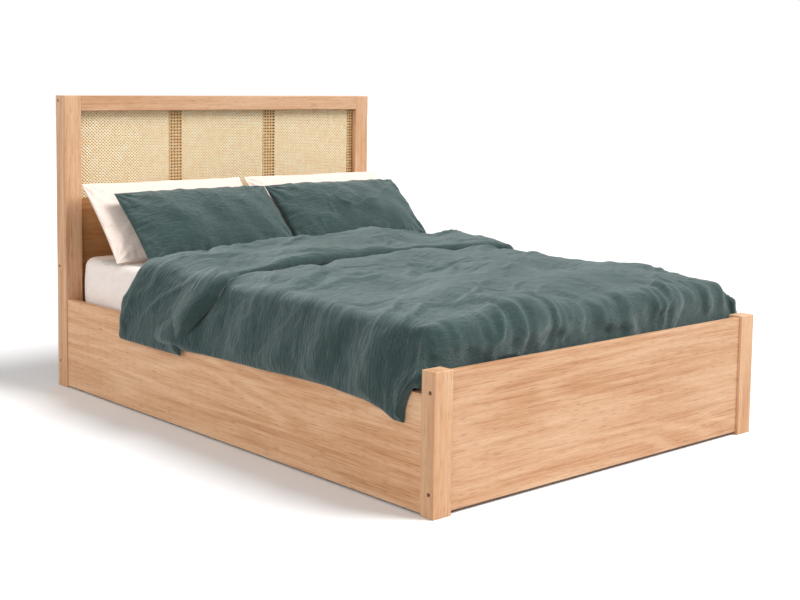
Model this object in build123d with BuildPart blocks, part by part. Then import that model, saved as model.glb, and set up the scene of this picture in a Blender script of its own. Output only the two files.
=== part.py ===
"""Double ottoman bed with a cane headboard, made up with mattress and bedding.

Millimetres. The origin is on the floor under the middle of the bed, +Y runs to the headboard,
+Z is up, and the bed is shown closed. Left is -X, right is +X, and `side` is -1 or +1.
"""
import os
from math import atan2, cos, degrees, hypot, radians, sin, sqrt

from build123d import *

os.makedirs("parts", exist_ok=True)
SIDES = (("left", -1), ("right", 1))

# Mattress, and the gaps that the frame leaves round it: these set the frame's width and length
mattress_width = 1344
mattress_length = 1900
mattress_height = 196
mattress_side_gap = 23
mattress_head_gap = 8
mattress_foot_gap = 22
mattress_corner = 60
mattress_edge = 32

# Heights over the posts
headboard_height = 1080
foot_height = 397

# Posts
post_width = 67
head_post_depth = 68
foot_post_depth = 52
edge_round = 2

# Side rails
rail_thickness = 26
rail_top = 330
rail_bottom = 6
rail_set_in = 4

# Headboard filling
top_rail_height = 56
top_rail_depth = 62
filling_set_back = 20
lower_panel_top = 700
lower_panel_bottom = 40
lower_panel_thickness = 18
mid_rail_height = 60
mid_rail_depth = 24
backing_thickness = 6
cane_thickness = 2.5
spacer_width = 22

# Open weave of the cane: two bands and a narrow strip at the right edge
weave_pitch_x = 13.6
weave_pitch_z = 12
weave_hole = 7
band_columns = 4
edge_columns = 2
band_side_margin = 3

# Footboard panel
foot_panel_thickness = 22
foot_panel_set_in = 8
foot_panel_drop = 5
foot_panel_bottom = 10

# Bolts through the posts, with a barrel nut in the end of the board that each one holds
bolt_radius = 3
bolt_clearance = 0.5
bolt_head_radius = 5
bolt_head_height = 6
bolt_recess_radius = 6
bolt_recess_depth = 12
bolt_reach = 38
barrel_nut_radius = 5
barrel_nut_setting = 30
barrel_nut_length = 14
barrel_nut_play = 0.2
head_bolt_heights = (94, 449)
top_bolt_drop = 19
foot_bolt_low = 65
foot_bolt_drop = 58

# Corner brackets between rails and posts
bracket_leg = 30
bracket_reach = 60
bracket_metal = 3
bracket_bottom = 70
bracket_height = 140
screw_radius = 2
screw_head_radius = 4
screw_head_height = 2

# Storage floor
floor_thickness = 4
floor_play = 2
floor_joint = 1
batten_size = 20
batten_bottom = 10
centre_beam_width = 40
centre_foot_radius = 20
centre_foot_count = 3

# Lift platform of welded tube, with sprung slats
tube_width = 30
tube_height = 40
tube_wall = 2
tube_corner = 3
centre_tube_width = 40
platform_bottom = 235
platform_end_gap = 27
slat_count = 13
slat_width = 60
slat_thickness = 8
cap_wall = 2.5
cap_length = 32
cap_play = 0.2
cap_edge_gap = 2
stop_width = 180
stop_spread = 700
stop_radius = 6
stop_height = 75
stop_bend = 16
strap_width = 40
strap_thickness = 2
strap_height = 95
rest_count = 3
rest_pitch = 500
rest_length = 60
rest_metal = 4
rest_height = 30
buffer_height = 6
buffer_radius = 9

# Lift mechanism: flat layers beside the rail, and pivots in the Y-Z plane
plate_metal = 4
layer_gap = 1
pin_radius = 6
pin_play = 0.1
pin_head_radius = 11
pin_head_height = 3
top_pivot_from_head_face = 167
top_pivot_height = 250
rear_arm_length = 362
rear_arm_angle = 22.5
front_arm_length = 450
front_arm_angle = 19.1
front_pivot_ahead = 115.5
front_pivot_below = 32.7
front_pin_offset = (4.1, -1.8)
front_pin_slack = 5
arm_width = 34
knee_along = 240
knee_up = 60
plate_margin = 22
strut_anchor_along = 228
strut_anchor_down = 60
strut_lug_along = 114
strut_lug_up = 40
strut_lug_radius = 14
strut_lead_angle = 1.39
strut_inset = 40
strut_radius = 12
strut_wall = 1.5
strut_neck_radius = 6
strut_cylinder_start = 26
strut_cylinder_end = 165
strut_floor = 4
rod_radius = 4.5
rod_length = 160
eye_radius = 10
eye_width = 14
stud_radius = 4
stud_end = 3
mount_screw_radius = 4
mount_screw_head = 7

# Bedding; the pillows' places are (distance from the mattress's head, height above its sheet)
soft_gap = 0.3
sheet_thickness = 1.2
sheet_hem_height = 14
duvet_side_thickness = 13
duvet_top_thickness = 26
duvet_crown = 26
duvet_hem_height = 272
duvet_rail_gap = 1.8
duvet_head_fold = 479
duvet_foot_tuck = 13
duvet_tuck_depth = 150
duvet_bend_height = 30
flap_length = 470
flap_side_thickness = 11
flap_top_thickness = 22
flap_hem_height = 252
back_pillow_width = 700
back_pillow_spread = 722
back_pillow_shift = 26
back_pillow_bottom = (294, 0)
back_pillow_top = (33, 277)
back_pillow_front = 46
back_pillow_back = 40
front_pillow_width = 670
front_pillow_spread = 671
front_pillow_shift = 50
front_pillow_bottom = (417, 0)
front_pillow_top = (153, 247)
front_pillow_front = 78
front_pillow_back = 22
pillow_pinch = 12
pillow_end_thickness = 0.10

# Faces that other pieces are set against
rail_inner = mattress_width / 2 + mattress_side_gap
rail_outer = rail_inner + rail_thickness
half_width = rail_outer + rail_set_in
post_inner = half_width - post_width
frame_length = (
    head_post_depth + mattress_head_gap + mattress_length + mattress_foot_gap + foot_post_depth
)
head_back = frame_length / 2
head_face = head_back - head_post_depth
foot_front = -frame_length / 2
foot_face = foot_front + foot_post_depth
filling_face = head_face + filling_set_back
filling_back = filling_face + lower_panel_thickness
top_rail_bottom = headboard_height - top_rail_height
head_bolts = (*head_bolt_heights, headboard_height - top_bolt_drop)
foot_bolts = (foot_bolt_low, foot_height - foot_bolt_drop)
foot_panel_outer = foot_front + foot_panel_set_in
foot_panel_inner = foot_panel_outer + foot_panel_thickness
foot_panel_top = foot_height - foot_panel_drop
floor_underside = batten_bottom + batten_size
floor_top = floor_underside + floor_thickness


def keep(piece, name):
    """Label a finished piece and write it under its own name."""
    piece.part.label = name
    export_step(piece.part, f"parts/{name}.step")


def across(side, near, far):
    """The X span, low to high, from `near` to `far` of the middle on one side of the bed."""
    return tuple(sorted((side * near, side * far)))


def add_board(span_x, span_y, span_z, mode=Mode.ADD):
    """Add a squared block between two X, two Y and two Z values to the open part."""
    (x0, x1), (y0, y1), (z0, z1) = span_x, span_y, span_z
    with BuildSketch(Plane.XY.offset(z0)) as outline:
        with Locations(((x0 + x1) / 2, (y0 + y1) / 2)):
            Rectangle(x1 - x0, y1 - y0)
    extrude(outline.sketch, amount=z1 - z0, mode=mode)


def add_rod(centre, radius, span_x, mode=Mode.ADD):
    """Add a round bar along X, with its centre given as (y, z), to the open part."""
    with BuildSketch(Plane.YZ.offset(span_x[0])) as outline:
        with Locations(centre):
            Circle(radius)
    extrude(outline.sketch, amount=span_x[1] - span_x[0], mode=mode)


def board(span_x, span_y, span_z, ease=0):
    """A squared timber whose edges are eased by a small radius."""
    with BuildPart() as piece:
        add_board(span_x, span_y, span_z)
        if ease:
            fillet(piece.edges(), ease)
    return piece


# Posts, with a recess and a clearance hole for each bolt
head_bolt_y = filling_back + mid_rail_depth / 2
foot_bolt_y = (foot_panel_outer + foot_panel_inner) / 2


def post(side, span_y, height, bolt_y, bolt_heights):
    """One square-edged post, drilled from its outer face for the bolts."""
    with BuildPart() as piece:
        add_board(across(side, post_inner, half_width), span_y, (0, height))
        fillet(piece.edges(), edge_round)
        holes = [
            Plane(origin=(side * half_width, bolt_y, z), z_dir=(side, 0, 0)).location
            for z in bolt_heights
        ]
        with Locations(*holes):
            CounterBoreHole(bolt_radius + bolt_clearance, bolt_recess_radius, bolt_recess_depth, post_width)
    return piece


for name, side in SIDES:
    head_span = (head_face, head_back)
    keep(post(side, head_span, headboard_height, head_bolt_y, head_bolts), f"headboard_{name}_post")
    foot_span = (foot_front, foot_face)
    keep(post(side, foot_span, foot_height, foot_bolt_y, foot_bolts), f"foot_{name}_post")


# Boards between the posts, each drilled in its ends for bolts and barrel nuts
def drill_ends(bolt_y, z):
    """Drill both ends of the open board for a bolt, and across it for the barrel nut."""
    for side in (-1, 1):
        reach = across(side, post_inner - bolt_reach - bolt_clearance, post_inner)
        add_rod((bolt_y, z), bolt_radius + bolt_clearance, reach, Mode.SUBTRACT)
        nut_x = side * (post_inner - barrel_nut_setting)
        with BuildSketch(Plane((nut_x, bolt_y, z), x_dir=(1, 0, 0), z_dir=(0, 1, 0))) as pocket:
            Circle(barrel_nut_radius + barrel_nut_play)
        extrude(pocket.sketch, amount=barrel_nut_length / 2 + barrel_nut_play, both=True, mode=Mode.SUBTRACT)


def cross_board(span_y, span_z, bolt_y, bolt_heights):
    """A board from post to post."""
    with BuildPart() as piece:
        add_board((-post_inner, post_inner), span_y, span_z)
        fillet(piece.edges().filter_by(Axis.X), edge_round)
        for z in bolt_heights:
            drill_ends(bolt_y, z)
    return piece


top_rail_span = (head_face, head_face + top_rail_depth)
keep(
    cross_board(top_rail_span, (top_rail_bottom, headboard_height), head_bolt_y, head_bolts[2:]),
    "headboard_top_rail",
)

lower_panel = board(
    (-post_inner, post_inner), (filling_face, filling_back), (lower_panel_bottom, lower_panel_top)
)
keep(lower_panel, "headboard_lower_panel")

mid_rail_span = (filling_back, filling_back + mid_rail_depth)
mid_rail_top = lower_panel_top + mid_rail_height / 2
keep(
    board((-post_inner, post_inner), mid_rail_span, (mid_rail_top - mid_rail_height, mid_rail_top)),
    "headboard_mid_rail",
)

# Two cross rails behind the lower panel take the lower bolts of the headboard
for name, z in zip(("bottom", "middle"), head_bolts):
    rail_span_z = (z - mid_rail_height / 2, z + mid_rail_height / 2)
    keep(
        cross_board(mid_rail_span, rail_span_z, head_bolt_y, (z,)),
        f"headboard_{name}_back_rail",
    )

foot_panel = cross_board(
    (foot_panel_outer, foot_panel_inner), (foot_panel_bottom, foot_panel_top), foot_bolt_y, foot_bolts
)
keep(foot_panel, "footboard_panel")

# Side rails from post to post
for name, side in SIDES:
    rail = board(
        across(side, rail_inner, rail_outer), (foot_face, head_face), (rail_bottom, rail_top), edge_round
    )
    keep(rail, f"side_rail_{name}")

# Cane filling: three closely woven fields, open bands between them, spacers and a backing board
cane_back = filling_face + cane_thickness
backing_face = filling_back - backing_thickness
cane_bottom = lower_panel_top
cane_top = top_rail_bottom
band_width = band_columns * weave_pitch_x + 2 * band_side_margin
edge_strip_width = edge_columns * weave_pitch_x + 2 * band_side_margin
field_width = (2 * post_inner - 2 * band_width - edge_strip_width) / 3
band_rows = int((cane_top - cane_bottom) / weave_pitch_z)

with BuildPart() as cane_fields:
    for count in range(3):
        field_left = -post_inner + count * (field_width + band_width)
        add_board((field_left, field_left + field_width), (filling_face, cane_back), (cane_bottom, cane_top))
keep(cane_fields, "cane_fields")


def open_weave(left_edge, width, columns):
    """Add one flat strip of open weave: a grid of square holes in one face, given its thickness."""
    middle = (left_edge + width / 2, (cane_bottom + cane_top) / 2)
    with BuildSketch(Plane.XZ.offset(-cane_back)) as weave:
        with Locations(middle):
            Rectangle(width, cane_top - cane_bottom)
            with GridLocations(weave_pitch_x, weave_pitch_z, columns, band_rows):
                Rectangle(weave_hole, weave_hole, mode=Mode.SUBTRACT)
    extrude(weave.sketch, amount=cane_thickness)


with BuildPart() as cane_open_bands:
    for count in range(2):
        open_weave(-post_inner + field_width + count * (field_width + band_width), band_width, band_columns)
    open_weave(post_inner - edge_strip_width, edge_strip_width, edge_columns)
keep(cane_open_bands, "cane_open_bands")

with BuildPart() as cane_spacers:
    spacer_depth = (cane_back, backing_face)
    for low in (cane_bottom, cane_top - spacer_width):
        add_board((-post_inner, post_inner), spacer_depth, (low, low + spacer_width))
    for side in (-1, 1):
        upright = across(side, post_inner - spacer_width, post_inner)
        add_board(upright, spacer_depth, (cane_bottom + spacer_width, cane_top - spacer_width))
keep(cane_spacers, "cane_spacer_frame")

keep(
    board((-post_inner, post_inner), (backing_face, filling_back), (cane_bottom, cane_top)),
    "headboard_backing_board",
)


# Bolts and barrel nuts
bolted_joints = [(head_bolt_y, z) for z in head_bolts] + [(foot_bolt_y, z) for z in foot_bolts]
with BuildPart() as frame_bolts:
    for side in (-1, 1):
        seat = half_width - bolt_recess_depth
        for centre in bolted_joints:
            add_rod(centre, bolt_head_radius, across(side, seat, seat + bolt_head_height))
            add_rod(centre, bolt_radius, across(side, post_inner - bolt_reach, seat))
            socket_depth = bolt_head_height / 2
            socket = across(side, seat + bolt_head_height - socket_depth, seat + bolt_head_height)
            with BuildSketch(Plane.YZ.offset(socket[0])):
                with Locations(centre):
                    RegularPolygon(bolt_radius * 0.8, 6)
            extrude(amount=socket_depth, mode=Mode.SUBTRACT)
keep(frame_bolts, "frame_bolts")

with BuildPart() as barrel_nuts:
    for side in (-1, 1):
        nut_x = side * (post_inner - barrel_nut_setting)
        for y, z in bolted_joints:
            with BuildSketch(Plane((nut_x, y, z), x_dir=(1, 0, 0), z_dir=(0, 1, 0))):
                Circle(barrel_nut_radius)
            extrude(amount=barrel_nut_length / 2, both=True)
            bore = across(side, post_inner - bolt_reach, post_inner)
            add_rod((y, z), bolt_radius + pin_play, bore, Mode.SUBTRACT)
keep(barrel_nuts, "barrel_nuts")


# Corner brackets: an angle plate in each corner, one leg on the post and one on the rail
corners = [(side, face, way) for side in (-1, 1) for face, way in ((head_face, -1), (foot_face, 1))]
bracket_screw_heights = (bracket_bottom + bracket_height * 0.2, bracket_bottom + bracket_height * 0.8)
with BuildPart() as corner_brackets:
    for side, face, way in corners:
        height = (bracket_bottom, bracket_bottom + bracket_height)
        along_post = tuple(sorted((face, face + way * bracket_metal)))
        along_rail = tuple(sorted((face, face + way * bracket_reach)))
        add_board(across(side, rail_inner - bracket_leg, rail_inner), along_post, height)
        add_board(across(side, rail_inner - bracket_metal, rail_inner), along_rail, height)
keep(corner_brackets, "corner_brackets")

with BuildPart() as bracket_screws:
    for side, face, way in corners:
        for z in bracket_screw_heights:
            head = across(side, rail_inner - bracket_metal - screw_head_height, rail_inner - bracket_metal)
            add_rod((face + way * bracket_reach * 0.7, z), screw_head_radius, head)
            plane = Plane(
                (side * (rail_inner - bracket_leg * 0.6), face + way * bracket_metal, z), z_dir=(0, way, 0)
            )
            with BuildSketch(plane):
                Circle(screw_head_radius)
            extrude(amount=screw_head_height)
keep(bracket_screws, "bracket_screws")


# Storage floor: battens round the frame, a centre beam on feet, and two floor boards
batten_height = (batten_bottom, floor_underside)
with BuildPart() as floor_battens:
    for side in (-1, 1):
        add_board(across(side, rail_inner - batten_size, rail_inner), (foot_face, head_face), batten_height)
keep(floor_battens, "floor_battens")

for name, side in SIDES:
    keep(
        board(
            across(side, floor_joint / 2, rail_inner - floor_play),
            (foot_face + bracket_metal, head_face - bracket_metal),
            (floor_underside, floor_top),
        ),
        f"floor_board_{name}",
    )

keep(
    board((-centre_beam_width / 2, centre_beam_width / 2), (foot_panel_inner, head_face), batten_height),
    "floor_centre_beam",
)

with BuildPart() as centre_feet:
    foot_pitch = (head_face - foot_face) / (centre_foot_count + 1)
    for count in range(centre_foot_count):
        with BuildSketch():
            with Locations((0, foot_face + (count + 1) * foot_pitch)):
                Circle(centre_foot_radius)
        extrude(amount=batten_bottom)
keep(centre_feet, "centre_beam_feet")


# Mechanism layers, counted inwards from the rail: base plate, front arm, rear arm, top bracket
def layer(count, side):
    """The X span of one plate of the mechanism; layer 0 is bolted to the rail."""
    outer = rail_inner - count * (plate_metal + layer_gap)
    return across(side, outer - plate_metal, outer)


def inner_face(count):
    """How far from the middle the inner face of a layer lies."""
    return rail_inner - count * (plate_metal + layer_gap) - plate_metal


def polar(length, angle):
    """The (y, z) step of a given length and angle above +Y."""
    return (length * cos(radians(angle)), length * sin(radians(angle)))


def shift(point, step, factor=1):
    """A (y, z) point moved by a step."""
    return (point[0] + factor * step[0], point[1] + factor * step[1])


rear_top = (head_face - top_pivot_from_head_face, top_pivot_height)
rear_base = shift(rear_top, polar(rear_arm_length, rear_arm_angle), -1)
front_top = shift(rear_top, (-front_pivot_ahead, -front_pivot_below))
front_base = shift(front_top, polar(front_arm_length, front_arm_angle), -1)
bracket_hole = shift(front_top, front_pin_offset)
knee = shift(rear_base, (knee_along, knee_up))
strut_anchor = shift(rear_base, (strut_anchor_along, -strut_anchor_down))
strut_lug = shift(
    shift(rear_base, polar(strut_lug_along, rear_arm_angle)), polar(strut_lug_up, rear_arm_angle + 90)
)
tube_outer = inner_face(3)
tube_inner = tube_outer - tube_width
strut_x = rail_inner - strut_inset


def add_link(span_x, start, end, width):
    """Add a flat link with round ends between two (y, z) points."""
    middle = ((start[0] + end[0]) / 2, (start[1] + end[1]) / 2)
    angle = degrees(atan2(end[1] - start[1], end[0] - start[0]))
    with BuildSketch(Plane.YZ.offset(span_x[0])) as outline:
        with Locations(middle):
            SlotCenterToCenter(hypot(end[0] - start[0], end[1] - start[1]), width, rotation=angle)
    extrude(outline.sketch, amount=span_x[1] - span_x[0])


def add_web(span_x, *round_corners):
    """Add a flat plate that wraps tightly round circles, each given as ((y, z), radius)."""
    with BuildSketch(Plane.YZ.offset(span_x[0])) as outline:
        for centre, radius in round_corners:
            with Locations(centre):
                Circle(radius)
        make_hull()
    extrude(outline.sketch, amount=span_x[1] - span_x[0])


def bore(span_x, centre, radius):
    """Cut a round hole along X."""
    add_rod(centre, radius, span_x, Mode.SUBTRACT)


def add_pin(side, centre, outer, inner, radius, head_radius=0):
    """Add a pin along X between two distances from the middle, with a head at its inner end."""
    add_rod(centre, radius, across(side, inner, outer))
    if head_radius:
        add_rod(centre, head_radius, across(side, inner - pin_head_height, inner))


base_plate_screws = [
    shift(front_base, (plate_margin * 1.6, plate_margin * 0.2)),
    shift(rear_base, (plate_margin * 1.8, 0)),
    shift(strut_anchor, (-plate_margin * 1.8, plate_margin * 0.6)),
]

for name, side in SIDES:
    with BuildPart() as base_plate:
        span = layer(0, side)
        add_web(
            span, (front_base, plate_margin), (rear_base, plate_margin + 6), (strut_anchor, eye_radius + 2)
        )
        for centre in base_plate_screws:
            bore(span, centre, mount_screw_radius + pin_play)
    keep(base_plate, f"base_plate_{name}")

    with BuildPart() as rear_arm:
        span = layer(2, side)
        half = arm_width / 2
        add_web(span, (rear_base, half), (strut_lug, strut_lug_radius), (knee, half))
        add_link(span, knee, rear_top, arm_width)
        for centre in (rear_base, rear_top):
            bore(span, centre, pin_radius + pin_play)
        add_pin(side, strut_lug, inner_face(2), strut_x - eye_width / 2 - stud_end, stud_radius)
    keep(rear_arm, f"rear_arm_{name}")

    with BuildPart() as front_arm:
        span = layer(1, side)
        add_link(span, front_base, front_top, arm_width - 4)
        bore(span, front_base, pin_radius + pin_play)
    keep(front_arm, f"front_arm_{name}")

    with BuildPart() as top_bracket:
        span = layer(3, side)
        top_edge = platform_bottom + tube_height - plate_margin
        hole_margin = pin_radius + front_pin_slack + 10
        add_web(
            span,
            (rear_top, plate_margin),
            (bracket_hole, hole_margin),
            ((bracket_hole[0] - plate_margin, top_edge), plate_margin),
            ((rear_top[0] + plate_margin * 2, top_edge), plate_margin),
        )
        bore(span, bracket_hole, pin_radius + front_pin_slack)
    keep(top_bracket, f"top_bracket_{name}")

with BuildPart() as base_pins:
    for side in (-1, 1):
        plate = inner_face(0)
        add_pin(side, front_base, plate, inner_face(1) - layer_gap / 2, pin_radius, pin_head_radius)
        add_pin(side, rear_base, plate, inner_face(2) - layer_gap / 2, pin_radius, pin_head_radius)
        add_pin(side, strut_anchor, plate, strut_x - eye_width / 2 - stud_end, stud_radius)
keep(base_pins, "base_pivot_pins")

with BuildPart() as base_screws:
    for side in (-1, 1):
        for centre in base_plate_screws:
            face = inner_face(0)
            add_rod(centre, mount_screw_radius, across(side, face, rail_inner))
            add_rod(centre, mount_screw_head, across(side, face - layer_gap * 0.8, face))
keep(base_screws, "base_plate_screws")

with BuildPart() as front_pins:
    for side in (-1, 1):
        inner = inner_face(3) - layer_gap / 2
        add_pin(side, front_top, inner_face(1), inner, pin_radius, pin_head_radius + front_pin_slack - 2)
keep(front_pins, "front_arm_pins")

with BuildPart() as bracket_pins:
    for side in (-1, 1):
        outer = inner_face(2) + plate_metal + layer_gap / 2
        add_rod(rear_top, pin_radius, across(side, inner_face(2) - layer_gap, outer))
        add_rod(rear_top, pin_head_radius, across(side, outer, outer + pin_head_height))
keep(bracket_pins, "bracket_pivot_pins")

# Gas struts: the cylinder turns on the base stud and the rod on the rear arm's stud
strut_angle = degrees(atan2(strut_lug[1] - strut_anchor[1], strut_lug[0] - strut_anchor[0])) - strut_lead_angle


def strut_plane(side, origin):
    """A plane whose normal runs up the strut, from a (y, z) point."""
    step = polar(1, strut_angle)
    return Plane((side * strut_x, origin[0], origin[1]), x_dir=(1, 0, 0), z_dir=(0, step[0], step[1]))


for name, side in SIDES:
    eye_span = across(side, strut_x - eye_width / 2, strut_x + eye_width / 2)
    with BuildPart() as strut_cylinder:
        with BuildSketch(strut_plane(side, strut_anchor)):
            Circle(strut_neck_radius)
        extrude(amount=strut_cylinder_start)
        with BuildSketch(strut_plane(side, shift(strut_anchor, polar(strut_cylinder_start, strut_angle)))):
            Circle(strut_radius)
        extrude(amount=strut_cylinder_end - strut_cylinder_start)
        inside = strut_cylinder_start + strut_floor
        with BuildSketch(strut_plane(side, shift(strut_anchor, polar(inside, strut_angle)))):
            Circle(strut_radius - strut_wall)
        extrude(amount=strut_cylinder_end - inside, mode=Mode.SUBTRACT)
        add_rod(strut_anchor, eye_radius, eye_span)
        bore(eye_span, strut_anchor, stud_radius + pin_play)
    keep(strut_cylinder, f"strut_cylinder_{name}")

    with BuildPart() as strut_rod:
        with BuildSketch(strut_plane(side, strut_lug)):
            Circle(rod_radius)
        extrude(amount=-rod_length)
        add_rod(strut_lug, eye_radius, eye_span)
        bore(eye_span, strut_lug, stud_radius + pin_play)
    keep(strut_rod, f"strut_rod_{name}")


# Lift platform: welded rectangular tubes, open inside
platform_head = head_face - platform_end_gap
platform_foot = foot_face + platform_end_gap + stop_bend
tube_z = (platform_bottom, platform_bottom + tube_height)


def add_tube(span_x, span_y, span_z, axis):
    """Add a hollow rectangular tube along X or Y."""
    add_board(span_x, span_y, span_z)
    fillet(edges().filter_by(axis), tube_corner)
    inside = [(low + tube_wall, high - tube_wall) for low, high in (span_x, span_y, span_z)]
    if axis == Axis.Y:
        inside[1] = span_y
    else:
        inside[0] = span_x
    add_board(*inside, Mode.SUBTRACT)


for name, side in SIDES:
    with BuildPart() as side_tube:
        add_tube(across(side, tube_inner, tube_outer), (platform_foot, platform_head), tube_z, Axis.Y)
    keep(side_tube, f"platform_{name}_tube")

for name, edge in (("head", platform_head - tube_width), ("foot", platform_foot)):
    with BuildPart() as end_tube:
        add_tube((-tube_inner, tube_inner), (edge, edge + tube_width), tube_z, Axis.X)
    keep(end_tube, f"platform_{name}_tube")

half_centre = centre_tube_width / 2
with BuildPart() as centre_tube:
    centre_span = (platform_foot + tube_width, platform_head - tube_width)
    add_tube((-half_centre, half_centre), centre_span, tube_z, Axis.Y)
keep(centre_tube, "platform_centre_tube")

# Slats in plastic caps, from the side tubes to the centre tube
cap_height = slat_thickness + 2 * cap_wall
cap_bottom = platform_bottom + tube_height
cap_top = cap_bottom + cap_height
slat_area = (platform_foot + slat_width, platform_head - slat_width)
slat_pitch = (slat_area[1] - slat_area[0]) / (slat_count - 1)
slat_middles = [slat_area[0] + count * slat_pitch for count in range(slat_count)]
cap_outer = tube_outer - cap_edge_gap
slat_span = (cap_edge_gap + cap_wall + cap_play, cap_outer - cap_wall - cap_play)

for name, side in SIDES:
    with BuildPart() as slats:
        for middle in slat_middles:
            slat_y = (middle - slat_width / 2, middle + slat_width / 2)
            slat_z = (cap_bottom + cap_wall + cap_play, cap_top - cap_wall - cap_play)
            add_board(across(side, *slat_span), slat_y, slat_z)
    keep(slats, f"slats_{name}")

half_cap = slat_width / 2 + cap_wall + cap_play
with BuildPart() as caps:
    for side in (-1, 1):
        for middle in slat_middles:
            for near, far in ((cap_edge_gap, cap_edge_gap + cap_length), (cap_outer - cap_length, cap_outer)):
                add_board(across(side, near, far), (middle - half_cap, middle + half_cap), (cap_bottom, cap_top))
            pocket_y = (middle - half_cap + cap_wall, middle + half_cap - cap_wall)
            pocket_z = (cap_bottom + cap_wall, cap_top - cap_wall)
            pocket_x = (slat_span[0] - cap_play, slat_span[1] + cap_play)
            add_board(across(side, *pocket_x), pocket_y, pocket_z, Mode.SUBTRACT)
keep(caps, "slat_caps")

# Mattress stops at the head end, bent from round bar and welded to the head tube
mattress_head = head_face - mattress_head_gap
mattress_bottom = cap_top + soft_gap
mattress_top = mattress_bottom + mattress_height
sheet_top = mattress_top + soft_gap + sheet_thickness
stop_y = mattress_head + soft_gap + sheet_thickness + stop_radius + soft_gap
stop_root_z = platform_bottom + tube_height / 2
with BuildPart() as mattress_stops:
    for side in (-1, 1):
        low, high = (side * stop_spread - stop_width) / 2, (side * stop_spread + stop_width) / 2
        top = stop_root_z + stop_height
        with BuildLine() as route:
            FilletPolyline(
                (low, platform_head, stop_root_z),
                (low, stop_y, stop_root_z),
                (low, stop_y, top),
                (high, stop_y, top),
                (high, stop_y, stop_root_z),
                (high, platform_head, stop_root_z),
                radius=stop_bend,
            )
        with BuildSketch(Plane((low, platform_head, stop_root_z), x_dir=(1, 0, 0), z_dir=(0, 1, 0))):
            Circle(stop_radius)
        sweep(path=route.wires()[0])
keep(mattress_stops, "mattress_stops")

# Pull strap: webbing fixed under the foot tube and turned up against the end of the mattress
mattress_foot = mattress_head - mattress_length
strap_back = mattress_foot - soft_gap - sheet_thickness - soft_gap
strap_front = strap_back - strap_thickness
strap_low = platform_bottom - strap_thickness
with BuildPart() as lift_strap:
    half_strap = strap_width / 2
    add_board((-half_strap, half_strap), (strap_front, platform_foot + tube_width), (strap_low, platform_bottom))
    add_board((-half_strap, half_strap), (strap_front, strap_back), (platform_bottom, strap_low + strap_height))
keep(lift_strap, "lift_strap")

# Rests on the side rails that carry the closed platform, with rubber buffers
rest_places = [platform_foot + rest_length + count * rest_pitch for count in range(rest_count)]
rest_top = platform_bottom - buffer_height
with BuildPart() as platform_rests:
    for side in (-1, 1):
        for y in rest_places:
            length = (y - rest_length / 2, y + rest_length / 2)
            add_board(across(side, rail_inner - rest_metal, rail_inner), length, (rest_top - rest_height, rest_top))
            shelf = across(side, tube_inner, rail_inner - rest_metal)
            add_board(shelf, length, (rest_top - rest_metal, rest_top))
keep(platform_rests, "platform_rests")

with BuildPart() as rest_buffers:
    for side in (-1, 1):
        for y in rest_places:
            with BuildSketch(Plane.XY.offset(rest_top)):
                with Locations((side * (tube_inner + tube_width / 2), y)):
                    Circle(buffer_radius)
            extrude(amount=buffer_height)
keep(rest_buffers, "rest_buffers")


# Mattress and fitted sheet
def mattress_form(grow, bottom, top):
    """The mattress's rounded block, grown outwards by a given amount."""
    middle_y = mattress_head - mattress_length / 2
    with BuildPart() as block:
        with BuildSketch(Plane.XY.offset(bottom)):
            with Locations((0, middle_y)):
                RectangleRounded(
                    mattress_width + 2 * grow, mattress_length + 2 * grow, mattress_corner + grow
                )
        extrude(amount=top - bottom)
        fillet(block.faces().sort_by(Axis.Z)[-1].edges(), mattress_edge + grow)
    return block


keep(mattress_form(0, mattress_bottom, mattress_top), "mattress")

sheet_outside = mattress_form(soft_gap + sheet_thickness, mattress_bottom + sheet_hem_height, sheet_top)
sheet_inside = mattress_form(soft_gap, mattress_bottom - sheet_hem_height, mattress_top + soft_gap)
with BuildPart() as fitted_sheet:
    add(sheet_outside.part)
    add(sheet_inside.part, mode=Mode.SUBTRACT)
keep(fitted_sheet, "fitted_sheet")


# Duvet: a cross-section carried along the bed, a tuck at the foot and a turned-back flap at the head
side_inner = rail_outer + duvet_rail_gap
duvet_bed_top = sheet_top + soft_gap
duvet_shoulder = mattress_width / 2 - mattress_edge


def duvet_section(y, inner_drop, thickness, top_thickness, hem, crown, lift=0):
    """One cross-section: down the outside of the rails, over the shoulders and across the top."""
    inner_x = side_inner + inner_drop
    outer_x = inner_x + thickness
    low = duvet_bed_top + lift
    high = low + top_thickness
    bend_low = rail_top + duvet_bend_height
    edge_x = mattress_width / 2 + soft_gap + sheet_thickness + soft_gap * 2 + lift
    with BuildSketch(Plane.XZ.offset(-y)) as section:
        with BuildLine():
            Polyline((-inner_x, bend_low), (-inner_x, hem), (-outer_x, hem), (-outer_x, bend_low))
            ThreePointArc(
                (-outer_x, bend_low), (-edge_x - top_thickness, low), (-duvet_shoulder, high)
            )
            ThreePointArc((-duvet_shoulder, high), (0, high + crown), (duvet_shoulder, high))
            ThreePointArc((duvet_shoulder, high), (edge_x + top_thickness, low), (outer_x, bend_low))
            Polyline((outer_x, bend_low), (outer_x, hem), (inner_x, hem), (inner_x, bend_low))
            Polyline((inner_x, bend_low), (edge_x, low), (-edge_x, low), (-inner_x, bend_low))
        make_face()
    return section.sketch


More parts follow.
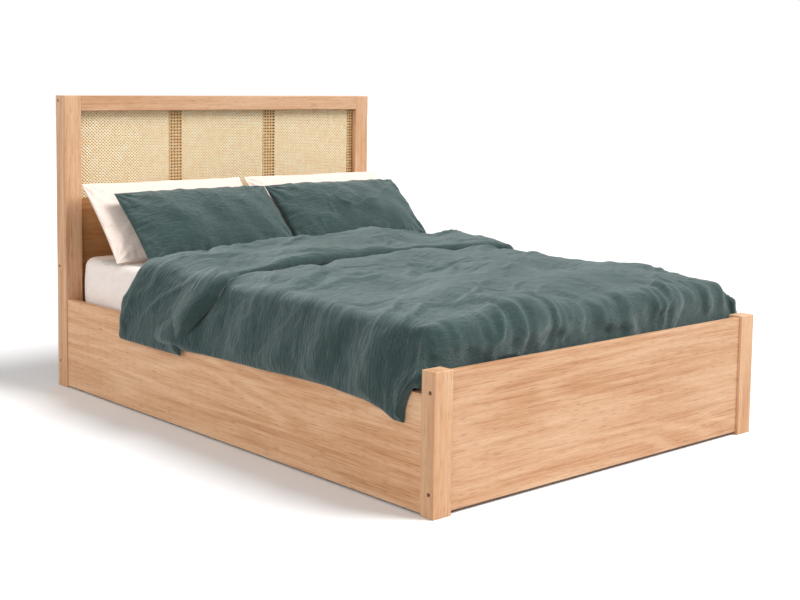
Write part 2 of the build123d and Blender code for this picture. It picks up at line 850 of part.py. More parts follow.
duvet_foot = mattress_foot
duvet_head_edge = mattress_head - duvet_head_fold
duvet_run = duvet_head_edge - duvet_foot
body_sections = [
    duvet_section(
        duvet_foot + share * duvet_run,
        0,
        duvet_side_thickness,
        duvet_top_thickness * wave,
        duvet_hem_height + (1 - wave) * duvet_hem_height / 10,
        duvet_crown * wave,
    )
    for share, wave in ((0, 0.3), (0.04, 0.75), (0.3, 1.0), (0.55, 0.85), (0.8, 1.05), (1, 0.7))
]
flap_sections = [
    duvet_section(
        duvet_head_edge - flap_length * (1 - share),
        duvet_side_thickness - 1,
        flap_side_thickness,
        flap_top_thickness * wave,
        flap_hem_height,
        duvet_crown * wave,
        duvet_top_thickness * 0.7,
    )
    for share, wave in ((0, 0.45), (0.15, 1.0), (0.6, 0.9), (1, 0.95))
]
with BuildPart() as duvet:
    loft(body_sections)
    tuck_inner = duvet_foot - soft_gap - sheet_thickness - soft_gap
    tuck_outer = tuck_inner - duvet_foot_tuck
    tuck_top = duvet_bed_top + duvet_top_thickness * 0.3
    with BuildSketch(Plane.YZ.offset(-duvet_shoulder)):
        with BuildLine():
            Polyline(
                (tuck_inner, duvet_bed_top - mattress_edge),
                (tuck_inner, mattress_top - duvet_tuck_depth),
                (tuck_outer, mattress_top - duvet_tuck_depth),
                (tuck_outer, duvet_bed_top - mattress_edge / 2),
            )
            ThreePointArc(
                (tuck_outer, duvet_bed_top - mattress_edge / 2),
                (tuck_outer + duvet_foot_tuck / 3, tuck_top - mattress_edge / 5),
                (duvet_foot + 1, tuck_top),
            )
            Polyline(
                (duvet_foot + 1, tuck_top),
                (duvet_foot + 1, duvet_bed_top),
                (tuck_inner, duvet_bed_top - mattress_edge),
            )
        make_face()
    extrude(amount=2 * duvet_shoulder)
    loft(flap_sections)
keep(duvet, "duvet")


# Pillows: lens-shaped sections, thin at the two ends, lofted across the bed
def pillow(centre_x, width, low_edge, high_edge, front_bulge, back_bulge):
    """A filled pillow leaning on its low edge; the edges are (from the mattress's head, above it)."""
    base = duvet_bed_top
    bottom = (mattress_head - low_edge[0], low_edge[1])
    top = (mattress_head - high_edge[0], high_edge[1])
    slant = hypot(top[0] - bottom[0], top[1] - bottom[1])
    along = ((top[0] - bottom[0]) / slant, (top[1] - bottom[1]) / slant)
    normal = (-along[1], along[0])
    with BuildPart() as form:
        for share in (-1, -0.86, -0.5, 0, 0.5, 0.86, 1):
            fullness = max(pillow_end_thickness, sqrt(max(0, 1 - abs(share) ** 3)))
            drawn_in = pillow_pinch * (1 - share * share)
            low = (bottom[0] + along[0] * drawn_in, base + bottom[1] + along[1] * drawn_in)
            high = (top[0] - along[0] * drawn_in, base + top[1] - along[1] * drawn_in)
            middle = ((low[0] + high[0]) / 2, (low[1] + high[1]) / 2)
            front = shift(middle, normal, front_bulge * fullness)
            back = shift(middle, normal, -back_bulge * fullness)
            with BuildSketch(Plane.YZ.offset(centre_x + share * width / 2)):
                with BuildLine():
                    ThreePointArc(low, front, high)
                    ThreePointArc(high, back, low)
                make_face()
        loft()
    return form


for name, side in SIDES:
    back_pillow = pillow(
        back_pillow_shift + side * back_pillow_spread / 2,
        back_pillow_width,
        back_pillow_bottom,
        back_pillow_top,
        back_pillow_front,
        back_pillow_back,
    )
    keep(back_pillow, f"pillow_white_{name}")
    front_pillow = pillow(
        front_pillow_shift + side * front_pillow_spread / 2,
        front_pillow_width,
        front_pillow_bottom,
        front_pillow_top,
        front_pillow_front,
        front_pillow_back,
    )
    keep(front_pillow, f"pillow_green_{name}")
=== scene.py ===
# %% [markdown]
# # An oak ottoman bed
# The bed's timber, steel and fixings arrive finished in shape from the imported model, and each one
# only needs its finish here. What a solid can't show is made in this lesson: the woven cane, the
# mattress and its sheet, four pillows and a folded-back linen duvet. Everything is in metres, with
# +Z up and the headboard towards +Y.

# %% Load the bed
import math

import bpy
import numpy as np
from mathutils import Matrix, Vector


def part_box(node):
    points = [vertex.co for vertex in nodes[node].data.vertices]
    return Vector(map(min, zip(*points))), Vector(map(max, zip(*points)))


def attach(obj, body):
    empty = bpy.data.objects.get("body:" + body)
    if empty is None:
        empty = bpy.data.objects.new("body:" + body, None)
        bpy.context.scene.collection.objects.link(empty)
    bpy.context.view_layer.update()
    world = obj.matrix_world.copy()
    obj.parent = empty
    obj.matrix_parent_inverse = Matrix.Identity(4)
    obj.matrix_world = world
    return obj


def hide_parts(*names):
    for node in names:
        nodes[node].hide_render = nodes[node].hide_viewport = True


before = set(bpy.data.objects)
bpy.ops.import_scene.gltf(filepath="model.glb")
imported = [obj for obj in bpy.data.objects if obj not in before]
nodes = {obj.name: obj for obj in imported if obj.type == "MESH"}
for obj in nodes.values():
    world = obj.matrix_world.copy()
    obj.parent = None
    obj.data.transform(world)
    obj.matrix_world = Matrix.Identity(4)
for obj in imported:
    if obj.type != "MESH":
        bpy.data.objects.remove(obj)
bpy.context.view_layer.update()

# %% [markdown]
# ## Camera
# The photograph was taken from beyond the left corner of the foot, a little above the headboard,
# with a short telephoto lens. Four numbers turn the camera: its heading, its dip, its roll and the
# lens's length. The frame is shifted down a little, so that upright posts stay nearly parallel.

# %% Camera at the photograph's place
heading, dip, roll = (math.radians(a) for a in (41.90, 5.54, 0.80))
forward = Vector((math.sin(heading) * math.cos(dip), math.cos(heading) * math.cos(dip), -math.sin(dip)))
level = Vector((math.cos(heading), -math.sin(heading), 0))
upright = level.cross(forward)
right = math.cos(roll) * level + math.sin(roll) * upright
top = -math.sin(roll) * level + math.cos(roll) * upright

lens = bpy.data.cameras.new("camera")
lens.lens, lens.sensor_width, lens.shift_y = 61.3, 36, -0.1125
camera = bpy.data.objects.new("camera", lens)
camera.matrix_world = Matrix((right, top, -forward)).transposed().to_4x4()
camera.location = (-3.131, -3.560, 1.161)
bpy.context.scene.collection.objects.link(camera)
bpy.context.scene.camera = camera
print("camera looks along", [round(v, 3) for v in forward])

# %% [markdown]
# ## Shader sums in Python
# A finish is easier to read as sums than as wires. `Value` holds one output of a shader node and
# overloads + - * so that an expression on values adds its own Math nodes. `Finish` starts a
# material and adds any other node: its settings are set first, then its sockets.

# %% A small language for finishes
class Value:
    """One output socket. Arithmetic on it adds Math nodes to the same finish."""

    def __init__(self, finish, socket):
        self.finish, self.socket = finish, socket

    def math(self, operation, *others):
        return self.finish.node("Math", {"operation": operation}, [self, *others])

    def __add__(self, other):
        return self.math("ADD", other)

    def __sub__(self, other):
        return self.math("SUBTRACT", other)

    def __mul__(self, other):
        return self.math("MULTIPLY", other)

    def __rsub__(self, other):
        return self.finish.node("Math", {"operation": "SUBTRACT"}, [other, self])

    __radd__, __rmul__ = __add__, __mul__

    def wave(self):
        return self.math("SINE")

    def step(self, low, high, start=0.0, end=1.0):
        """A smooth step from start to end as the value goes from low to high."""
        settings = {"interpolation_type": "SMOOTHSTEP"}
        return self.finish.node("MapRange", settings, [self, low, high, start, end])


class Finish:
    """A material: a Principled shader with plain settings, and the nodes that vary it."""

    def __init__(self, name, **settings):
        self.material = bpy.data.materials.new(name)
        self.material.use_nodes = True
        self.tree = self.material.node_tree
        self.shader = self.tree.nodes["Principled BSDF"]
        for key, value in settings.items():
            self.shader.inputs[key.replace("_", " ").title().replace("Ior", "IOR")].default_value = value

    def node(self, kind, settings=None, inputs=(), output=0):
        """Add a node; inputs are values or links, by position, or by name in a dict."""
        made = self.tree.nodes.new("ShaderNode" + kind)
        for key, value in (settings or {}).items():
            if key == "stops":
                while len(made.color_ramp.elements) < len(value):
                    made.color_ramp.elements.new(0.5)
                for element, (place, colour) in zip(made.color_ramp.elements, value):
                    element.position = place
                    element.color = (*colour, 1)
            else:
                setattr(made, key, value)
        pairs = inputs.items() if isinstance(inputs, dict) else enumerate(inputs)
        for key, value in pairs:
            socket = made.inputs[key]
            if isinstance(value, Value):
                self.tree.links.new(value.socket, socket)
            elif value is not None:
                socket.default_value = value
        return Value(self, made.outputs[output])

    def feed(self, **links):
        """Link varying values to the shader's own sockets."""
        for key, value in links.items():
            self.tree.links.new(value.socket, self.shader.inputs[key.replace("_", " ")])
        return self

    def object_place(self):
        return self.node("TexCoord", output="Object")

    def cloth_place(self):
        return self.node("UVMap", {"uv_map": "cloth"})

    def stretched(self, place, scale):
        return self.node("Mapping", inputs={"Vector": place, "Scale": scale})

    def noise(self, place, scale=1.0, detail=2.0, roughness=0.5, distortion=0.0):
        names = ("Vector", "Scale", "Detail", "Roughness", "Distortion")
        return self.node("TexNoise", inputs=dict(zip(names, (place, scale, detail, roughness, distortion))))

    def ramp(self, value, stops):
        return self.node("ValToRGB", {"stops": stops}, [value])

    def mix(self, factor, first, second, blend="MIX"):
        """Mix two colours; either may be a link or three numbers."""
        made = self.node("Mix", {"data_type": "RGBA", "blend_type": blend}, {"Factor": factor}, output=2)
        for socket, value in zip((6, 7), (first, second)):
            inputs = made.socket.node.inputs
            if isinstance(value, Value):
                self.tree.links.new(value.socket, inputs[socket])
            else:
                inputs[socket].default_value = (*value, 1)
        return made

    def bump(self, height, distance, strength=1.0, under=None):
        """Turn a height into a normal; under is the normal of a coarser bump below it."""
        inputs = {"Strength": strength, "Distance": distance, "Height": height, "Normal": under}
        return self.node("Bump", inputs=inputs)


def linear(red, green, blue):
    """A screen colour, 0 to 255, as the linear numbers that a shader takes."""
    return tuple(((c / 255 + 0.055) / 1.055) ** 2.4 if c > 10 else c / 3294.6 for c in (red, green, blue))


# %% [markdown]
# ## Oak
# The timber is light oak with a lengthwise grain: soft cathedral figure where the saw crossed the
# rings, straight fibres and dark pores, and a few small knots. Contour lines of a noise that is
# stretched along the board bend round each other just as growth rings do, so they make the figure.
# Each board's grain runs its own way, which is the axis that the pattern is stretched along.
# Each copy also carries painted shade: its colours are multiplied by a shade factor, darker for
# the boards that face the foot and for the posts than for the side rails.

# %% Oak finish for each grain direction, with painted shade
def oak(name, grain, shade=(0.83, 0.82, 0.82), seed=0.0):
    """Light oak. grain is the axis, 0 to 2, along which the fibres run; shade multiplies each colour, which paints
    shade onto the board.
    """
    finish = Finish(name, roughness=0.52, specular_ior_level=0.35)
    along = lambda length, width: tuple(length if axis == grain else width for axis in range(3))
    shift = (seed, seed * 0.7, seed * 1.3)
    place = finish.node("Mapping", inputs={"Vector": finish.object_place(), "Location": shift})
    figure = finish.noise(finish.stretched(place, along(0.50, 3.8)), 1.0, 2.0, 0.42, 0.35)
    wobble = finish.noise(finish.stretched(place, along(3.0, 30.0)), 1.0, 2.0)
    rings = (figure * 74.0 + wobble * 1.6).wave() * 0.5 + 0.5
    drift = finish.noise(finish.stretched(place, along(0.9, 5.0)), 1.0, 2.0)
    fibres = finish.noise(finish.stretched(place, along(6.0, 230.0)), 1.0, 3.0, 0.65)
    streaks = finish.noise(finish.stretched(place, along(1.6, 75.0)), 1.0, 3.0, 0.6)
    pores = finish.noise(finish.stretched(place, along(22.0, 520.0)), 1.0, 1.0).step(0.57, 0.70)
    cells = finish.stretched(place, along(1.7, 4.6))
    knot = finish.node("TexVoronoi", {"feature": "F1"}, {"Vector": cells, "Scale": 1.0, "Randomness": 1.0})
    chance = finish.noise(cells, 1.3, 0.0).step(0.53, 0.57)
    eye = knot.step(0.015, 0.070, 1.0, 0.0) * chance
    halo = knot.step(0.04, 0.30, 1.0, 0.0) * chance
    tone = rings * rings * 0.22 + (streaks - 0.5) * 0.85 + (fibres - 0.5) * 0.95
    tone = tone + (drift - 0.5) * 0.7 - halo * 0.22 + 0.44
    dark, warm, middle, pale = (
        linear(*rgb) for rgb in ((188, 130, 88), (214, 161, 119), (229, 182, 142), (243, 204, 166))
    )
    stops = [(0.0, dark), (0.30, warm), (0.55, middle), (1.0, pale)]
    # Painted shade: every colour of the grain, the pores and the knots is multiplied by shade.
    with_painted_shade = lambda rgb: tuple(c * k for c, k in zip(rgb, shade))
    colour = finish.ramp(tone, [(at, with_painted_shade(rgb)) for at, rgb in stops])
    colour = finish.mix(pores * 0.40, colour, with_painted_shade(linear(160, 106, 68)))
    colour = finish.mix(eye * 0.8, colour, with_painted_shade(linear(116, 74, 46)))
    height = fibres * 0.5 + rings * 0.25 - pores * 1.0 - eye * 0.6
    return finish.feed(Base_Color=colour, Roughness=fibres * 0.22 + 0.42, Normal=finish.bump(height, 0.0004, 0.5))


# Painted shade: the foot-facing boards are darkened most, the posts a little less, the side rails hardly at all.
oak_across = oak("oak_across", 0)
oak_along = oak("oak_along", 1, (0.98, 0.96, 0.93), 3.1)
oak_upright = oak("oak_upright", 2, (0.88, 0.87, 0.86), 7.7)
# Painted shadow: the headboard's lower panel and middle rail, behind the pillows, are made much darker and browner.
oak_shaded = oak("oak_shaded", 0, shade=(0.54, 0.43, 0.27), seed=12.4)


def dress(finish, *names):
    """Give CAD parts a finish."""
    for name in names:
        for place in nodes[name].material_slots:
            place.material = finish.material


dress(oak_across, "headboard_top_rail", "footboard_panel", "headboard_middle_back_rail", "headboard_bottom_back_rail")
# The lower panel and middle rail take the painted shadow of the pillows.
dress(oak_shaded, "headboard_lower_panel", "headboard_mid_rail")
dress(oak_along, "side_rail_left", "side_rail_right")
dress(oak_upright, "headboard_left_post", "headboard_right_post", "foot_left_post", "foot_right_post")
print("oak finishes:", oak_across.material.name, oak_along.material.name, oak_upright.material.name)

# %% [markdown]
# ## Plainer finishes
# Board, softwood, beech slats, powder-coated steel, zinc, rubber and plastic are each one short
# recipe: a colour that drifts a little, a roughness that isn't even, and a faint relief.

# %% Recipes for board, steel, rubber and plastic
def plain(name, colour, roughness, relief=0.0002, grit=400.0, drift=0.10, scale=(1, 1, 1), **settings):
    """A finish of one colour with a slow drift in tone and a fine relief."""
    finish = Finish(name, **settings)
    place = finish.stretched(finish.object_place(), scale)
    slow, fine = finish.noise(place, 6.0, 3.0, 0.6), finish.noise(place, grit, 2.0)
    dark = tuple(c * (1 - drift) for c in colour)
    light = tuple(min(1, c * (1 + drift)) for c in colour)
    shade = finish.ramp(slow * 0.7 + fine * 0.3, [(0.3, dark), (0.7, light)])
    normal = finish.bump(fine, relief, 0.6)
    return finish.feed(Base_Color=shade, Roughness=fine * 0.2 + (roughness - 0.1), Normal=normal)


black_steel = plain("powder_coated_steel", linear(38, 38, 40), 0.48, 0.0001, 1400)
# The bolts are near black, darker than the powder-coated steel, so the bolt holes in the posts show dark.
dark_bolts = plain("near_black_bolts", linear(11, 11, 12), 0.7, 0.0001, 900, specular_ior_level=0.2)
zinc = plain("zinc_plate", linear(178, 180, 184), 0.36, 0.00005, 900, metallic=1.0)
polished_rod = plain("ground_rod", linear(208, 208, 212), 0.2, 0.00002, 600, metallic=1.0)
rubber = plain("rubber", linear(34, 34, 34), 0.8, 0.0002, 500)
black_plastic = plain("moulded_plastic", linear(30, 30, 31), 0.5, 0.0001, 700)
softwood = plain("softwood", linear(222, 190, 146), 0.6, 0.0003, 30, 0.14, (22, 2.5, 22))
beech = plain("beech_slats", linear(224, 190, 150), 0.45, 0.0002, 24, 0.10, (2.5, 22, 22))
oak_board = plain("oak_print_board", linear(206, 164, 126), 0.55, 0.0001, 20, 0.12, (20, 2, 20))
stained_board = plain("stained_board", linear(132, 84, 44), 0.7, 0.0002, 60)
webbing = plain("webbing", linear(36, 37, 38), 0.9, 0.0005, 700)

dress(black_steel, "base_plate_left", "base_plate_right", "front_arm_left", "front_arm_right", "rear_arm_left",
      "rear_arm_right", "top_bracket_left", "top_bracket_right", "platform_left_tube", "platform_right_tube",
      "platform_head_tube", "platform_foot_tube", "platform_centre_tube", "corner_brackets", "mattress_stops",
      "strut_cylinder_left", "strut_cylinder_right")
dress(zinc, "base_pivot_pins", "bracket_pivot_pins", "front_arm_pins", "base_plate_screws", "bracket_screws",
      "barrel_nuts")
dress(dark_bolts, "frame_bolts")
dress(polished_rod, "strut_rod_left", "strut_rod_right")
dress(rubber, "rest_buffers")
dress(black_plastic, "slat_caps", "centre_beam_feet")
dress(softwood, "floor_battens", "floor_centre_beam", "platform_rests")
dress(beech, "slats_left", "slats_right")
dress(oak_board, "floor_board_left", "floor_board_right")
dress(stained_board, "headboard_backing_board", "cane_spacer_frame")
dress(webbing, "lift_strap")

# %% [markdown]
# ## Linen and cotton
# Washed linen is matt, with thick and thin yarns that cross, a faded bloom on its raised creases
# and a soft sheen at a low angle. Its pattern has to follow the cloth, so it reads a UV map in
# metres, and the yarns stay their real size on every piece.

# %% Woven cloth finish
def woven(name, colour, worn, pitch, slub, sheen, relief):
    """Plain-weave cloth: pitch is the distance between yarns in metres, slub how uneven they are."""
    finish = Finish(name, sheen_weight=sheen, sheen_roughness=0.5, specular_ior_level=0.15)
    finish.shader.inputs["Sheen Tint"].default_value = (*[min(1, 0.55 + c * 2.4) for c in worn], 1)
    place = finish.cloth_place()
    warp = finish.noise(finish.stretched(place, (0.55 / pitch, 70, 1)), 1.0, 2.0, 0.6)
    weft = finish.noise(finish.stretched(place, (55, 0.55 / pitch, 1)), 1.0, 2.0, 0.6)
    mottle = finish.noise(place, 26.0, 5.0, 0.68)
    across = finish.node("SeparateXYZ", inputs=[place])
    up = Value(finish, across.socket.node.outputs[1])
    turn = 2 * math.pi / pitch
    threads = (across * turn).wave() * (up * turn).wave()
    yarn = warp * 0.35 + weft * 0.65
    crinkle = finish.noise(finish.stretched(place, (22, 170, 1)), 1.0, 4.0, 0.66, 0.4) * 0.4
    crinkle = crinkle + finish.noise(finish.stretched(place, (15, 30, 1)), 1.0, 4.0, 0.6, 0.8) * 0.8
    tone = (yarn - 0.5) * slub + (mottle - 0.5) * 0.22 + (crinkle - 0.65) * 0.35 + 0.5 + threads * 0.04
    shade = finish.ramp(tone, [(0.15, tuple(c * 0.74 for c in colour)), (0.5, colour), (0.85, worn)])
    coarse = finish.bump(crinkle, relief, 1.0)
    fine = finish.bump(threads * 0.3 + yarn, 0.0006, 0.6, coarse)
    return finish.feed(Base_Color=shade, Roughness=mottle * 0.1 + 0.82, Normal=fine)


green_linen = woven("green_linen", linear(46, 65, 63), linear(70, 94, 94), 0.0012, 0.8, 0.52, 0.0085)
white_linen = woven("white_linen", linear(238, 220, 209), linear(246, 230, 220), 0.0009, 0.4, 0.1, 0.006)
sheet_cotton = woven("sheet_cotton", linear(254, 242, 234), linear(255, 248, 242), 0.0006, 0.3, 0.08, 0.003)
ticking = woven("mattress_ticking", linear(222, 220, 214), linear(238, 236, 232), 0.002, 0.4, 0.05, 0.002)

# %% [markdown]
# ## Surfaces from arrays
# Every soft piece starts as a grid of points that numpy works out at once. A closed pad is two
# such grids, its outside and its inside, joined round the rim; the UV map is the distance along
# the cloth both ways.

# %% Grids to meshes
def grid_faces(rows, columns, offset=0, flip=False):
    """Corner numbers of the quads of a grid of points."""
    corner = (np.arange(rows - 1)[:, None] * columns + np.arange(columns - 1)[None, :]).ravel() + offset
    quads = np.stack([corner, corner + 1, corner + columns + 1, corner + columns], 1)
    return quads[:, ::-1] if flip else quads


def make_mesh(name, points, faces, cloth=None):
    """A smooth mesh from arrays, with the UV map `cloth` given for each point."""
    mesh = bpy.data.meshes.new(name)
    mesh.from_pydata(points.reshape(-1, 3), [], faces)
    mesh.polygons.foreach_set("use_smooth", np.ones(len(faces), bool))
    if cloth is not None:
        corners = np.zeros(len(mesh.loops), np.int32)
        mesh.loops.foreach_get("vertex_index", corners)
        mesh.uv_layers.new(name="cloth").data.foreach_set("uv", cloth.reshape(-1, 2)[corners].ravel())
    piece = bpy.data.objects.new(name, mesh)
    bpy.context.scene.collection.objects.link(piece)
    return piece


def normals(points):
    """Unit normals of a grid: the cross product of its two directions' differences."""
    across = np.gradient(points, axis=1)
    along = np.gradient(points, axis=0)
    normal = np.cross(across, along)
    return normal / np.maximum(np.linalg.norm(normal, axis=2, keepdims=True), 1e-9)


def closed_pad(name, outside, inside, cloth):
    """Two grids with the same rim, as one closed mesh whose faces point outwards."""
    rows, columns = outside.shape[:2]
    count = rows * columns
    under = np.arange(count).reshape(rows, columns) + count
    rim = np.ones((rows, columns), bool)
    rim[1:-1, 1:-1] = False
    under[rim] = np.arange(count).reshape(rows, columns)[rim]
    renumber = np.concatenate([np.arange(count), under.ravel()])
    points = np.concatenate([outside.reshape(-1, 3), inside.reshape(-1, 3)])
    faces = np.concatenate([grid_faces(rows, columns), renumber[grid_faces(rows, columns, count, True)]])
    used = np.unique(faces)
    shorter = np.zeros(2 * count, np.int64)
    shorter[used] = np.arange(len(used))
    both = np.concatenate([cloth.reshape(-1, 2)] * 2)
    return make_mesh(name, points[used], shorter[faces], both[used])


def smooth_step(value, low, high):
    """0 below low, 1 above high, and 3t^2 - 2t^3 between."""
    t = np.clip((value - low) / (high - low), 0, 1)
    return t * t * (3 - 2 * t)


def waves(u, v, seed, count, short, long, lean=0.0, spread=math.pi):
    """A smooth random height: a sum of sine waves with lengths from short to long, in metres,
    running within spread of the direction lean, each as high as it is long."""
    pick = np.random.default_rng(seed)
    total, weight = np.zeros(np.broadcast(u, v).shape), 0.0
    for length, turn, phase in zip(
        np.geomspace(long, short, count), lean + spread * (pick.random(count) - 0.5), pick.random(count) * 7
    ):
        total += length * np.sin((u * math.cos(turn) + v * math.sin(turn)) * 2 * math.pi / length + phase)
        weight += length * length / 2
    return total / math.sqrt(weight)


def creases(u, v, seed, size, stretch, lean, sharp=0.30):
    """Raised creases: a narrow bump wherever a stretched smooth field is near zero."""
    along = u * math.cos(lean) + v * math.sin(lean)
    over = -u * math.sin(lean) + v * math.cos(lean)
    bent = over + 0.35 * size * waves(along, over, seed + 1, 9, size * 1.5, size * 5)
    field = waves(along / stretch, bent, seed, 14, size, size * 3.5)
    patch = smooth_step(waves(along, over, seed + 2, 8, size * 4, size * 9), -0.4, 1.2)
    return np.exp(-((field / sharp) ** 2)) * patch


# %% [markdown]
# ## Woven cane
# Cane webbing has pairs of upright strands and pairs of level ones that pass over and under each
# other, and two slanting sets that cut the corners off each square hole. In the two narrow bands,
# and in the strip at the right, the slanting strands are left out and the holes stay square. Each
# strand is a flat lens-shaped tube whose height over the net is a cosine of the distance along it,
# so that at each crossing one strand is up where the other is down.

# %% Cane finishes
cane = Finish("cane", specular_ior_level=0.5)
cane_place = cane.object_place()
cane_fibre = cane.noise(cane.stretched(cane_place, (900, 60, 90)), 1.0, 2.0)
cane_tone = cane.noise(cane_place, 38.0, 3.0, 0.6) * 0.5 + cane_fibre * 0.5
cane_stops = [(0.30, linear(250, 212, 156)), (0.5, linear(255, 233, 192)), (0.70, linear(255, 246, 220))]
cane_shade = cane.ramp(cane_tone, cane_stops)
cane.feed(Base_Color=cane_shade, Roughness=cane_tone * 0.3 + 0.28, Normal=cane.bump(cane_tone, 0.0002, 0.5))
band_cane = Finish("band_cane", specular_ior_level=0.5)
band_tone = band_cane.noise(band_cane.object_place(), 60.0, 3.0, 0.6)
band_shade = band_cane.ramp(band_tone, [(0.3, linear(232, 186, 122)), (0.7, linear(252, 222, 170))])
band_cane.feed(Base_Color=band_shade, Roughness=band_tone * 0.3 + 0.3)

# %% [markdown]
# One set of strands is worked out at once: every strand has the same number of rings, and each ring
# has four points, so the faces follow from the counts alone. Pairs stand a small step each side of
# the lines of a grid whose pitch was read off the photograph.

# %% A set of strands
field_low, field_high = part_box("cane_fields")
pitch_x, pitch_z = 0.0136, 0.0120
first_x, first_z = -0.2440, 0.7060
net_y = (field_low.y + field_high.y) / 2


def strands(starts, ends, width, height, up):
    """Lens-shaped tubes from starts to ends, (x, z) each; up(x, z, strand) is each point's height."""
    steps = int(np.ceil(np.linalg.norm(ends - starts, axis=1).max() / 0.0045)) + 1
    along = np.linspace(0, 1, steps)[None, :, None]
    line = starts[:, None] * (1 - along) + ends[:, None] * along
    way = (ends - starts) / np.linalg.norm(ends - starts, axis=1, keepdims=True)
    over = np.stack([-way[:, 1], way[:, 0]], 1)[:, None]
    lift = up(line[..., 0], line[..., 1], np.arange(len(starts))[:, None])
    ring = []
    for across, raise_by in ((-0.5, 0.0), (0.0, 0.5), (0.5, 0.0), (0.0, -0.5)):
        flat = line + over * across * width
        ring.append(np.stack([flat[..., 0], net_y - lift - raise_by * height, flat[..., 1]], 2))
    points = np.stack(ring, 2)
    count = len(starts)
    base = (np.arange(count)[:, None, None] * steps + np.arange(steps - 1)[None, :, None]) * 4
    corner, following = np.arange(4)[None, None], (np.arange(4)[None, None] + 1) % 4
    faces = np.stack(np.broadcast_arrays(base + corner, base + following, base + 4 + following, base + 4 + corner), 3)
    caps = (np.arange(count)[:, None] * steps * 4 + np.array([[0, 3, 2, 1]]))
    tails = (np.arange(count)[:, None] * steps * 4 + (steps - 1) * 4 + np.array([[0, 1, 2, 3]]))
    return points.reshape(-1, 3), np.concatenate([faces.reshape(-1, 4), caps, tails])


def lattice(low, high, first, pitch, margin, apart):
    """Positions of the strand pairs inside low to high: each side of every lattice line."""
    lines = first + pitch * np.arange(math.floor((low - first) / pitch) - 1, math.ceil((high - first) / pitch) + 2)
    pairs = np.concatenate([lines - apart, lines + apart])
    return np.sort(pairs[(pairs > low + margin) & (pairs < high - margin)])


# %% [markdown]
# A panel is its upright and level pairs, and in the fields two slanting sets over them. A strand
# that starts past an edge is cut where its line enters and leaves the panel.

# %% A woven panel
def weave(name, x_low, x_high, slanting, finish):
    """A woven panel between two x values: upright and level pairs, with or without slanting sets."""
    z_low, z_high = field_low.z, field_high.z
    turn_x, turn_z = math.pi / pitch_x, math.pi / pitch_z
    edge_x, edge_z = first_x - pitch_x / 2, first_z - pitch_z / 2
    apart = 0.0022 if slanting else 0.0017
    upright = lattice(x_low, x_high, edge_x, pitch_x, 0.0012, apart)
    level_z = lattice(z_low, z_high, edge_z, pitch_z, 0.0012, apart)
    flip_x = np.round((upright - edge_x) / pitch_x)[:, None]
    flip_z = np.round((level_z - edge_z) / pitch_z)[:, None]
    column = lambda x, z, i: 0.00035 * np.cos((z - edge_z) * turn_z + flip_x[i[:, 0]] * math.pi)
    row = lambda x, z, i: -0.00035 * np.cos((x - edge_x) * turn_x + flip_z[i[:, 0]] * math.pi)
    ends = lambda a, b: np.stack([a, b], 1)
    wide_strand = 0.0031 if slanting else 0.0025
    foot, head = ends(upright, upright * 0 + z_low), ends(upright, upright * 0 + z_high)
    left, right_end = ends(level_z * 0 + x_low, level_z), ends(level_z * 0 + x_high, level_z)
    sets = [
        strands(foot, head, wide_strand, 0.0007, column),
        strands(left, right_end, wide_strand, 0.0007, row),
    ]
    if slanting:
        slope = pitch_z / pitch_x
        for lean, rise in ((1, 0.00062), (-1, 0.00086)):
            offsets = first_x + pitch_x * np.arange(-80, 90)
            starts = np.stack([offsets, np.full(len(offsets), first_z)], 1)
            way = np.array([lean, slope])
            near = np.sort(np.stack([(x_low - starts[:, 0]) / way[0], (x_high - starts[:, 0]) / way[0]], 1), 1)
            enter = np.maximum(near[:, 0], (z_low - first_z) / slope)
            leave = np.minimum(near[:, 1], (z_high - first_z) / slope)
            keep = leave - enter > 0.004
            begin = starts[keep] + way * enter[keep, None]
            finish_at = starts[keep] + way * leave[keep, None]
            tide = lambda x, z, i, rise=rise: rise + 0.00012 * np.cos((x - first_x) * turn_x * 2)
            sets.append(strands(begin, finish_at, 0.0036, 0.0006, tide))
    points, faces, start = [], [], 0
    for some_points, some_faces in sets:
        points.append(some_points)
        faces.append(some_faces + start)
        start += len(some_points)
    panel = make_mesh(name, np.concatenate(points), np.concatenate(faces))
    panel.data.materials.append(finish.material)
    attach(panel, "frame")
    print(name, len(panel.data.polygons), "faces")
    return panel


# %% Three fields and three open bands
bands = [(-0.2707, -0.2103), (0.1771, 0.2375), (0.6248, 0.6580)]
fields = [(-0.6580, -0.2707), (-0.2103, 0.1771), (0.2375, 0.6248)]
for kind, spans, slanting, finish, node in (
    ("field", fields, True, cane, "cane_fields"),
    ("band", bands, False, band_cane, "cane_open_bands"),
):
    for number, (x_low, x_high) in enumerate(spans):
        panel = weave(f"cane_{kind}_{number + 1}", x_low, x_high, slanting, finish)
        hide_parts(*([node] if number == 0 else []))

# %% [markdown]
# ## Mattress and fitted sheet
# The sheet is stretched over a rounded block and gathered underneath by its elastic hem. One
# profile runs from the middle of the top, over the edge and down the side; each step of it is
# drawn round a rounded rectangle that shrinks or grows with the profile's inset.

# %% Rounded blocks
mattress_low, mattress_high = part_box("mattress")
sheet_low, sheet_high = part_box("fitted_sheet")


def rounded_outline(half_x, half_y, corner, count):
    """A rounded rectangle: straight sides and quarter circles, with points evenly spaced."""
    turn = np.linspace(0, math.pi / 2, 9)
    quarter = np.stack([half_x - corner + corner * np.cos(turn), half_y - corner + corner * np.sin(turn)], 1)
    ring = np.concatenate([quarter, quarter[::-1] * (-1, 1), quarter * (-1, -1), quarter[::-1] * (1, -1)])
    ring = np.concatenate([ring, ring[:1]])
    walked = np.concatenate([[0], np.cumsum(np.linalg.norm(np.diff(ring, axis=0), axis=1))])
    even = np.linspace(0, walked[-1], count, endpoint=False)
    return np.stack([np.interp(even, walked, ring[:, axis]) for axis in (0, 1)], 1), even


